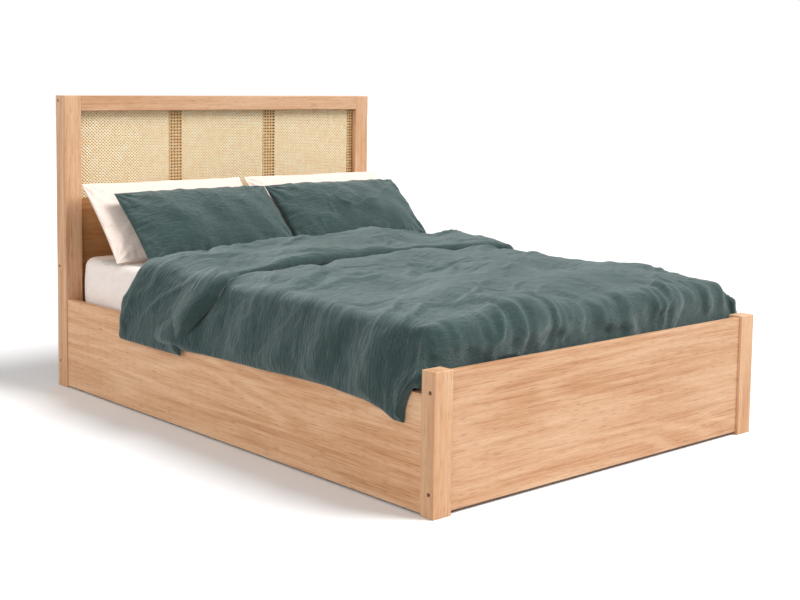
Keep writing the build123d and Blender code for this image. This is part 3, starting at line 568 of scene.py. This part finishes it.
def block(name, low, high, corner, profile, ripple=None, count=360):
    """Sweep a profile of (inset, height) pairs round a rounded rectangle."""
    half = (high - low) / 2
    middle = (high + low) / 2
    rings, walked = [], [0.0]
    for row, (inset, height) in enumerate(profile):
        ring, even = rounded_outline(half.x - inset, half.y - inset, max(corner - inset, 0.004), count)
        rings.append(np.column_stack([ring[:, 0] + middle.x, ring[:, 1] + middle.y, np.full(count, height)]))
        if row:
            walked.append(walked[-1] + math.dist(profile[row], profile[row - 1]))
    points = np.stack(rings)
    even = np.linspace(0, 2 * (half.x + half.y) * 2, count, endpoint=False)
    if ripple is not None:
        points = points + ripple(points, even)
    closed = np.concatenate([points, points[:, :1]], 1)
    round_it = np.append(even, 4 * (half.x + half.y))[None, :]
    cloth = np.stack(np.broadcast_arrays(round_it, np.array(walked)[:, None]), 2)
    return closed, cloth


def edge_profile(inner, edge, top, bottom, bulge, tuck, side_steps=14):
    """From the top's middle outwards, round the edge, down a slightly bulged side and under."""
    flat = [(inset, top) for inset in np.linspace(inner, edge, 12)]
    turn = np.linspace(0, math.pi / 2, 8)[1:]
    bend = [(edge - edge * math.sin(a), top - edge + edge * math.cos(a)) for a in turn]
    drop = np.linspace(0, 1, side_steps)[1:]
    side = [(-bulge * math.sin(math.pi * t), top - edge + (bottom - top + edge) * t) for t in drop]
    insets = np.linspace(0, tuck, 4)[1:]
    under = [(inset, bottom - 0.004 * math.sin(inset / max(tuck, 1e-6) * math.pi)) for inset in insets]
    return flat + bend + side + under


# %% [markdown]
# The mattress shows only from below and at its foot; its piped seam round the lower edge is left out.
# The sheet's sides are drawn in by small upright puckers at the corners, where its elastic pulls.

# %% Mattress and sheet
def puckers(points, even):
    """Soft ripples on the side that fade out towards the top, strongest beside each corner."""
    outward = points - points.mean(1, keepdims=True)
    outward[..., 2] = 0
    outward /= np.maximum(np.linalg.norm(outward, axis=2, keepdims=True), 1e-6)
    low = smooth_step(points[..., 2], sheet_high.z - 0.02, sheet_low.z)
    near = np.exp(-(np.minimum(sheet_high.x - abs(points[..., 0]), sheet_high.y - abs(points[..., 1])) / 0.25) ** 2)
    ripple = waves(even[None, :], points[..., 2] * 0.35, 5, 12, 0.03, 0.30, 0.0, 0.6) * 0.0011
    dimple = waves(points[..., 0], points[..., 1], 8, 10, 0.10, 0.6) * 0.0008 * (1 - low)
    return outward * (ripple * low * (0.4 + near))[..., None] + dimple[..., None] * (0, 0, 1)


def seal(points):
    """Close a swept block: draw its first and last rings to their middles."""
    first, last = points[:1].mean(1, keepdims=True), points[-1:].mean(1, keepdims=True)
    return np.concatenate([np.repeat(first, points.shape[1], 1), points, np.repeat(last, points.shape[1], 1)])


def merge_seams(piece, distance=1e-5):
    """Weld points that lie on each other, and turn every face outwards."""
    import bmesh
    work = bmesh.new()
    work.from_mesh(piece.data)
    bmesh.ops.remove_doubles(work, verts=work.verts, dist=distance)
    bmesh.ops.recalc_face_normals(work, faces=work.faces)
    work.to_mesh(piece.data)
    work.free()
    return piece


mattress_profile = edge_profile(0.30, 0.032, mattress_high.z, mattress_low.z + 0.006, 0.0, 0.02)
points, cloth = block("mattress_block", mattress_low, mattress_high, 0.060, mattress_profile, count=200)
points, cloth = seal(points), np.concatenate([cloth[:1], cloth, cloth[-1:]])
mattress = merge_seams(make_mesh("mattress_block", points, grid_faces(*points.shape[:2], flip=True), cloth))
mattress.data.materials.append(ticking.material)
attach(mattress, "lift_platform")
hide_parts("mattress")

sheet_profile = edge_profile(0.34, 0.0335, sheet_high.z, sheet_low.z, 0.004, 0.0)
points, cloth = block("fitted_sheet_cloth", sheet_low, sheet_high, 0.0615, sheet_profile, puckers, 420)
points = np.concatenate([np.repeat(points[:1].mean(1, keepdims=True), points.shape[1], 1), points])
cloth = np.concatenate([cloth[:1], cloth])
sheet = merge_seams(make_mesh("fitted_sheet_cloth", points, grid_faces(*points.shape[:2], flip=True), cloth))
wall = sheet.modifiers.new("thickness", "SOLIDIFY")
wall.thickness, wall.offset = 0.001, -1
sheet.data.materials.append(sheet_cotton.material)
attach(sheet, "lift_platform")
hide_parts("fitted_sheet")
print("mattress", [round(v, 3) for v in mattress.dimensions], "sheet", [round(v, 3) for v in sheet.dimensions])

# %% [markdown]
# ## Pillows
# A pillow is two rectangles sewn together at the rim and stuffed. The filling pulls the middle of
# each side inwards and leaves the corners as points, and the cloth gathers in short creases that
# run in from the seam. Each one leans back on its lower edge, so its own width and height axes are
# turned to lie along the lean.

# %% Stuffed pillows
def pillow(name, cad, finish, lean_bottom, lean_top, front, back, seed, limp=0.0):
    """Half-thickness is (1-u^2)^a (1-v^2)^a of the fullness, with u and v from -1 to 1."""
    low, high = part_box(cad)
    rows, columns = 74, 104
    even_sine = lambda count: np.sin(np.linspace(-1, 1, count) * math.pi / 2)
    v, u = np.meshgrid(even_sine(rows), even_sine(columns), indexing="ij")
    half_w = (high.x - low.x) / 2
    bottom, head = np.array(lean_bottom), np.array(lean_top)
    half_h = np.linalg.norm(head - bottom) / 2
    along = (head - bottom) / (2 * half_h)
    facing = np.array([-along[1], along[0]])
    side = half_w * u * (1 - 0.022 * (1 - v * v) ** 0.8)
    height = half_h * v * (1 - 0.04 * (1 - u * u) ** 0.8)
    full = ((1 - u * u) ** 0.50) * ((1 - v * v) ** 0.52) * (1 + 0.10 * (1 - u * u))
    sag = 1 - limp * v
    rim = np.minimum((1 - abs(u)) * half_w, (1 - abs(v)) * half_h)
    gather = np.exp(-((rim / 0.055) ** 2)) * (1 - np.exp(-((rim / 0.008) ** 2)))
    run = np.where(abs(u) * half_h > abs(v) * half_w, height, side)
    pulled = waves(run, rim * 0.6, seed, 16, 0.018, 0.11, 0.0, 0.5) * gather * 0.0022
    corner = np.hypot(half_w - abs(side), half_h - abs(height))
    fan = np.arctan2(half_h - abs(height), half_w - abs(side))
    near_corner = np.exp(-((corner / 0.13) ** 2)) * smooth_step(corner, 0.01, 0.05)
    radial = np.sin(fan * 13 + seed + u * 2) * near_corner * 0.0035
    rumple = creases(side, height, seed + 9, 0.050, 3.6, 1.35) * 0.0055 * full
    rumple = rumple + creases(side, height, seed + 3, 0.09, 2.4, 0.6) * 0.005 * full
    rumple += waves(side, height, seed + 4, 12, 0.09, 0.5) * 0.008 * full
    cloth = np.stack([side, height], 2)

    def layer(depth, sign):
        out = sign * (depth * full * sag + (pulled + radial + rumple) * (1 if sign > 0 else 0.6))
        flat = bottom[None, None] + (height + half_h)[..., None] * along + out[..., None] * facing
        x = (low.x + high.x) / 2 + side
        return np.stack([x, flat[..., 0], flat[..., 1]], 2)

    outside, inside = layer(front, 1), layer(back, -1)
    piece = closed_pad(name, outside, inside, cloth)
    fine = piece.modifiers.new("rounding", "SUBSURF")
    fine.levels = fine.render_levels = 1
    piece.data.materials.append(finish.material)
    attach(piece, "lift_platform")
    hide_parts(cad)
    return piece


bed_top = sheet_high.z + 0.0006
for number, hand in enumerate(("left", "right")):
    pillow(f"back_pillow_{hand}", f"pillow_white_{hand}", white_linen,
           (0.661, bed_top + 0.006), (0.912, bed_top + 0.272), 0.044, 0.038, 21 + number * 6)
    pillow(f"front_pillow_{hand}", f"pillow_green_{hand}", green_linen,
           (0.540, bed_top + 0.007), (0.792, bed_top + 0.243), 0.072, 0.024, 41 + number * 6)

# %% [markdown]
# ## The duvet
# One thick sheet does it all. Follow it along the bed: it comes up from its tuck behind the
# footboard, bends over the end of the mattress, runs up the bed, folds back on itself below the
# pillows and ends as a turned-back flap. Across the bed it lies flat with a crown, bends over the
# mattress's edge and hangs outside the rails. So a point of it is found from two distances: one
# picks the section, and the other walks along that section, whose slope is known everywhere.
# Adding up the slope's cosines and sines gives the section's shape.

# %% Stations along the duvet
flat_half, edge_bend = 0.640, 0.0335
foot_bend_y, tuck_length = -0.9175, 0.112
fold_y, flap_end = 0.452, 0.050


def stations():
    """The path's rows: y, how far it is turned back (0 body, 1 flap), and the foot's bend and hang.
    Rows are closer at both hems and round the fold."""
    hang = np.concatenate([[0, 0.002, 0.006, 0.012], np.linspace(0.022, tuck_length, 10)])
    bend = np.linspace(0, math.pi / 2, 8)[1:]
    bed = np.linspace(foot_bend_y, fold_y, 138)[1:]
    turn = np.linspace(0, math.pi, 9)[1:]
    hem_rows = flap_end + np.array([0.012, 0.006, 0.002, 0])
    back = np.concatenate([np.linspace(fold_y, flap_end + 0.022, 42)[1:], hem_rows])
    zero = lambda part: np.zeros(len(part))
    y = np.concatenate([zero(hang) + foot_bend_y, zero(bend) + foot_bend_y, bed, zero(turn) + fold_y, back])
    fold = np.concatenate([zero(hang), zero(bend), zero(bed), (1 - np.cos(turn)) / 2, zero(back) + 1])
    bulge = np.concatenate([zero(hang), zero(bend), zero(bed), np.sin(turn), zero(back)])
    drop = np.concatenate([tuck_length - hang, zero(bend), zero(bed), zero(turn), zero(back)])
    angle = np.concatenate([zero(hang) + math.pi / 2, math.pi / 2 - bend, zero(bed), zero(turn), zero(back)])
    bed_steps, back_steps = np.diff(bed, prepend=foot_bend_y)[1:], -np.diff(back, prepend=fold_y)
    steps = np.concatenate([np.diff(hang), np.full(8, 0.0085), bed_steps, np.full(8, 0.005), back_steps])
    walked = np.concatenate([[0], np.cumsum(steps)])[: len(y)]
    return [part[:, None] for part in (y, fold, bulge, drop, angle, walked)]


row_y, fold, bulge, drop, angle, walked = stations()
print("duvet rows:", len(row_y), "length of cloth:", round(float(walked[-1, 0]), 3), "m")

# %% Thickness, crown and hems along the duvet
turned = smooth_step(row_y, 0.0, 0.06)
near_foot = smooth_step(row_y, -0.66, -0.93)
puff = 1 + 0.10 * np.sin(row_y * 9.0 + 0.6)
body_thick = (0.027 * puff) * (1 - turned) + 0.015 * turned - 0.006 * near_foot
body_crown = 0.024 * (1 - turned) + 0.008 * turned - 0.010 * near_foot
thick = body_thick * (1 - fold) + 0.031 * fold
crown = body_crown * (1 - fold) + 0.016 * fold
lifted = 0.0006 + fold * 0.0175
under_crown = 0.008 * fold
hang_share = np.clip(drop / tuck_length, 0, 1)
thick = thick * (1 - hang_share) + 0.013 * hang_share
crown = crown * (1 - hang_share)

hem_y = [-0.955, -0.925, -0.85, -0.753, -0.60, -0.40, -0.169, 0.118, 0.30]
hem_z = {-1: [0.252, 0.240, 0.256, 0.276, 0.285, 0.281, 0.277, 0.268, 0.272],
         1: [0.262, 0.252, 0.262, 0.272, 0.278, 0.270, 0.276, 0.270, 0.272]}


def half_section(share, side):
    """x and z of one half of every section, for shares 0 to 1 of the way from the middle to the hem.
    The slope is 0 on top, turns to 70 degrees over the mattress's edge and to 90 beside the rail."""
    steep, last_bend = math.radians(70), 0.03
    radius = edge_bend + lifted + thick / 2
    out = (0.7296 + 0.0035 * (1 + np.sin(row_y * 15 + side))) * (1 - fold) + 0.7425 * fold
    hem = np.interp(row_y, hem_y, hem_z[side]) * (1 - fold) + 0.2500 * fold
    level = bed_top + lifted + thick / 2
    over = radius * steep
    reach = np.maximum((out - 0.005 - flat_half - radius * math.sin(steep)) / math.cos(steep), 0.01)
    left_over = level - radius * (1 - math.cos(steep)) - reach * math.sin(steep) - 0.0295 - hem
    length = flat_half + over + reach + last_bend + np.maximum(left_over, 0.01)
    s = share * length
    first_turn = steep * smooth_step(s - flat_half, 0, over)
    last_turn = (math.pi / 2 - steep) * smooth_step(s - flat_half - over - reach, 0, last_bend)
    slope = first_turn + last_turn
    step = np.diff(s, axis=1, prepend=0)
    middle = (slope + np.concatenate([slope[:, :1] * 0, slope[:, :-1]], 1)) / 2
    x, z = np.cumsum(np.cos(middle) * step, 1), -np.cumsum(np.sin(middle) * step, 1)
    x = np.where(x > flat_half, flat_half + (x - flat_half) * (out - flat_half) / (x[:, -1:] - flat_half), x)
    z = level + z * (level - hem) / -z[:, -1:]
    return x * side, z, s * side


share = np.concatenate([np.linspace(0, 0.985, 96), [0.991, 0.9955, 0.9985, 1.0]])[None, :]
halves = {side: half_section(share, side) for side in (-1, 1)}
across_x, across_z, across_s = (np.concatenate([halves[-1][i][:, :0:-1], halves[1][i]], 1) for i in range(3))
out_share = abs(across_s)
dome = 1 - np.clip(out_share / flat_half, 0, 1) ** 2.4
dome = dome * dome * (3 - 2 * dome)
print("duvet grid:", across_x.shape, "half width of cloth:", round(float(across_s.max()), 3), "m")

# %% The middle of the duvet's thickness
fold_slant = np.interp(across_s, [-0.93, -0.86, -0.75, -0.66, 0, 0.66, 0.93],
                       [0.085, 0.058, 0.018, -0.003, 0.0, 0.0, 0.05])
hem_slant = np.interp(across_s, [-0.93, -0.84, -0.74, -0.68, -0.60, -0.4, 0.5, 0.66, 0.75, 0.93],
                      [0.112, 0.03, -0.052, -0.066, -0.020, -0.004, 0.004, -0.02, 0.0, 0.08])
towards_hem = smooth_step(row_y, fold_y, flap_end)
slant = fold_slant * (1 - fold) + fold * (fold_slant + (hem_slant - fold_slant) * towards_hem)
slant = slant * np.where(fold > 0, 1, smooth_step(row_y, -0.25, 0.40))
full_thick = thick + crown * dome
side_thin = smooth_step(across_z, 0.335, 0.40)
full_thick = full_thick * side_thin + np.minimum(full_thick, 0.0125) * (1 - side_thin)
centre_z = across_z + (under_crown + crown / 2) * dome
fold_radius = 0.0125
bed_y = row_y + slant + bulge * fold_radius * 0.9
hem_lean = 0.046                       # how far the hem's foot corner leans towards the head
at_foot_share = smooth_step(-row_y, 0.80, 0.93)
side_y = np.where(drop + angle > 0, foot_bend_y - 0.037 * (angle / math.pi + drop / tuck_length / 2), bed_y)
side_y = side_y + hem_lean * at_foot_share * smooth_step(-across_z, -0.395, -0.262)
over_sheet = 0.0006 + full_thick / 2
foot_radius = edge_bend + over_sheet
foot_y = np.where(drop + angle > 0, foot_bend_y - foot_radius * np.sin(angle), bed_y)
foot_z = np.where(drop + angle > 0, bed_top - edge_bend + foot_radius * np.cos(angle) - drop, centre_z)
foot_half, give = 0.640, 0.012          # the tucked end's half width, and how far it may pass it
past = np.tanh(np.maximum(abs(across_x) - foot_half, 0) / give)
foot_x = np.sign(across_x) * np.minimum(abs(across_x), foot_half + give * past)
corner = smooth_step(abs(across_s), 0.615, 0.715)
at_foot = (drop + angle > 0) * 1.0
corner = corner * at_foot
bed_y = bed_y + hem_lean * at_foot_share * (1 - at_foot) * smooth_step(-across_z, -0.395, -0.262)
centre = np.stack([
    np.where(at_foot > 0, foot_x * (1 - corner) + across_x * corner, across_x),
    foot_y * (1 - corner) + side_y * corner,
    foot_z * (1 - corner) + np.minimum(centre_z, np.where(at_foot > 0, foot_z, centre_z)) * corner,
], 2)
centre[..., 1] = np.where(at_foot > 0, centre[..., 1], bed_y)

# %% [markdown]
# The folds come last, as heights over the cloth: slow billows of the filling, a net of soft creases
# that mostly run across the bed, folds that hang down the sides and widen towards the hem, and
# upright gathers where the cloth is pushed down behind the footboard, deepest at its right end.

# %% Billows, creases, drapes and gathers
a, b = across_s, walked + 0 * across_s
side_part = smooth_step(abs(a), 0.60, 0.80)
flat_part = 1 - side_part
billow = waves(a, b, 3, 14, 0.17, 0.60) * 0.0100
net = creases(a, b, 11, 0.090, 3.2, 0.22, 0.52) * 0.0115 + creases(a, b, 29, 0.055, 3.8, -0.30, 0.48) * 0.0055
net -= creases(a, b, 83, 0.110, 4.0, 0.10, 0.40) * 0.0085
drape = waves(a * 0.30 + b, b * 0.0, 17, 10, 0.13, 0.42) * 0.0095 * side_part
drape += creases(b, a, 37, 0.060, 3.8, 1.35, 0.50) * 0.0052 * side_part
end_on = np.exp(-(((b - 0.16) / 0.10) ** 2)) * (1 - 0.7 * side_part)
right_end = 0.55 + 0.9 * smooth_step(a, 0.15, 0.62)
gather = waves(a + 0.10 * b, b * 0.22, 53, 16, 0.030, 0.11, 0.0, 0.8) * 0.0042 * end_on * right_end
ripples = waves(a, b, 71, 12, 0.02, 0.06) * 0.0007
height = billow * (0.4 + 0.6 * flat_part) + net * (0.45 + 0.55 * flat_part) + drape + gather + ripples

edge = np.minimum(np.minimum(walked, walked[-1] - walked), np.minimum(a - a[:, :1], a[:, -1:] - a))
rim_round = np.sqrt(np.clip(1 - (1 - np.clip(edge / (0.011 + 0.012 * fold), 0, 1)) ** 2, 0, 1))
rim_fade = smooth_step(edge, 0.0, 0.03)
facing = normals(centre)
half = (full_thick / 2 * rim_round)[..., None]
swell = np.clip(height, -0.62 * full_thick, 0.026)[..., None] * rim_fade[..., None]
seen_above = fold < 0.5
outside = centre + facing * (half + swell * seen_above[..., None])
inside = centre - facing * (half + swell * (~seen_above)[..., None])
cloth = np.stack([a, b], 2)
duvet = closed_pad("folded_duvet", outside, inside, cloth)
duvet.data.materials.append(green_linen.material)
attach(duvet, "lift_platform")
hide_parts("duvet")
print("duvet:", [round(v, 3) for v in duvet.dimensions], len(duvet.data.polygons), "faces")

# %% [markdown]
# ## Room
# A pale floor, an even white surround that only the camera and shiny surfaces see, and a weak sky.
# A big soft lamp shines from beyond the right of the foot, so that the folds of the duvet cast
# soft shadows, and a weaker one from the left keeps the long side of the bed light.

# %% Floor, sky and lamps
ground = Finish("floor_paint", roughness=0.9, base_color=(0.5, 0.5, 0.5, 1))
rays = ground.node("LightPath")
seen = rays.math("MAXIMUM", Value(ground, rays.socket.node.outputs["Is Glossy Ray"]))
ground.feed(Base_Color=ground.mix(seen, (0.42, 0.42, 0.42), (0.93, 0.93, 0.93)))
plane = make_mesh("floor", np.array([[x, y, 0] for y in (-30, 30) for x in (-30, 30)], float), grid_faces(2, 2))
plane.data.materials.append(ground.material)

world = bpy.data.worlds.new("studio")
bpy.context.scene.world = world
world.use_nodes = True
tree = world.node_tree
sky = tree.nodes["Background"]
path = tree.nodes.new("ShaderNodeLightPath")
either = tree.nodes.new("ShaderNodeMath")
either.operation = "MAXIMUM"
both = tree.nodes.new("ShaderNodeMath")
both.operation = "MAXIMUM"
tree.links.new(path.outputs["Is Camera Ray"], either.inputs[0])
tree.links.new(path.outputs["Is Glossy Ray"], either.inputs[1])
tree.links.new(either.outputs[0], both.inputs[0])
tree.links.new(path.outputs["Is Transmission Ray"], both.inputs[1])
strength = tree.nodes.new("ShaderNodeMapRange")
strength.inputs["To Min"].default_value = 0.52
strength.inputs["To Max"].default_value = 1.0
tree.links.new(both.outputs[0], strength.inputs["Value"])
tree.links.new(strength.outputs[0], sky.inputs["Strength"])
sky.inputs["Color"].default_value = (1, 1, 1, 1)


def sun(name, towards, power, softness):
    """A soft lamp that shines along a direction, like a large softbox far away."""
    lamp = bpy.data.lights.new(name, "SUN")
    lamp.energy, lamp.angle = power, math.radians(softness)
    light = bpy.data.objects.new(name, lamp)
    light.rotation_mode = "QUATERNION"
    light.rotation_quaternion = Vector(towards).to_track_quat("-Z", "Y")
    bpy.context.scene.collection.objects.link(light)
    return light


sun("key", (-0.50, 0.56, -0.90), 3.3, 28)
sun("side_fill", (0.9, 0.35, -0.25), 1.15, 50)
bpy.context.scene.view_settings.view_transform = "Standard"
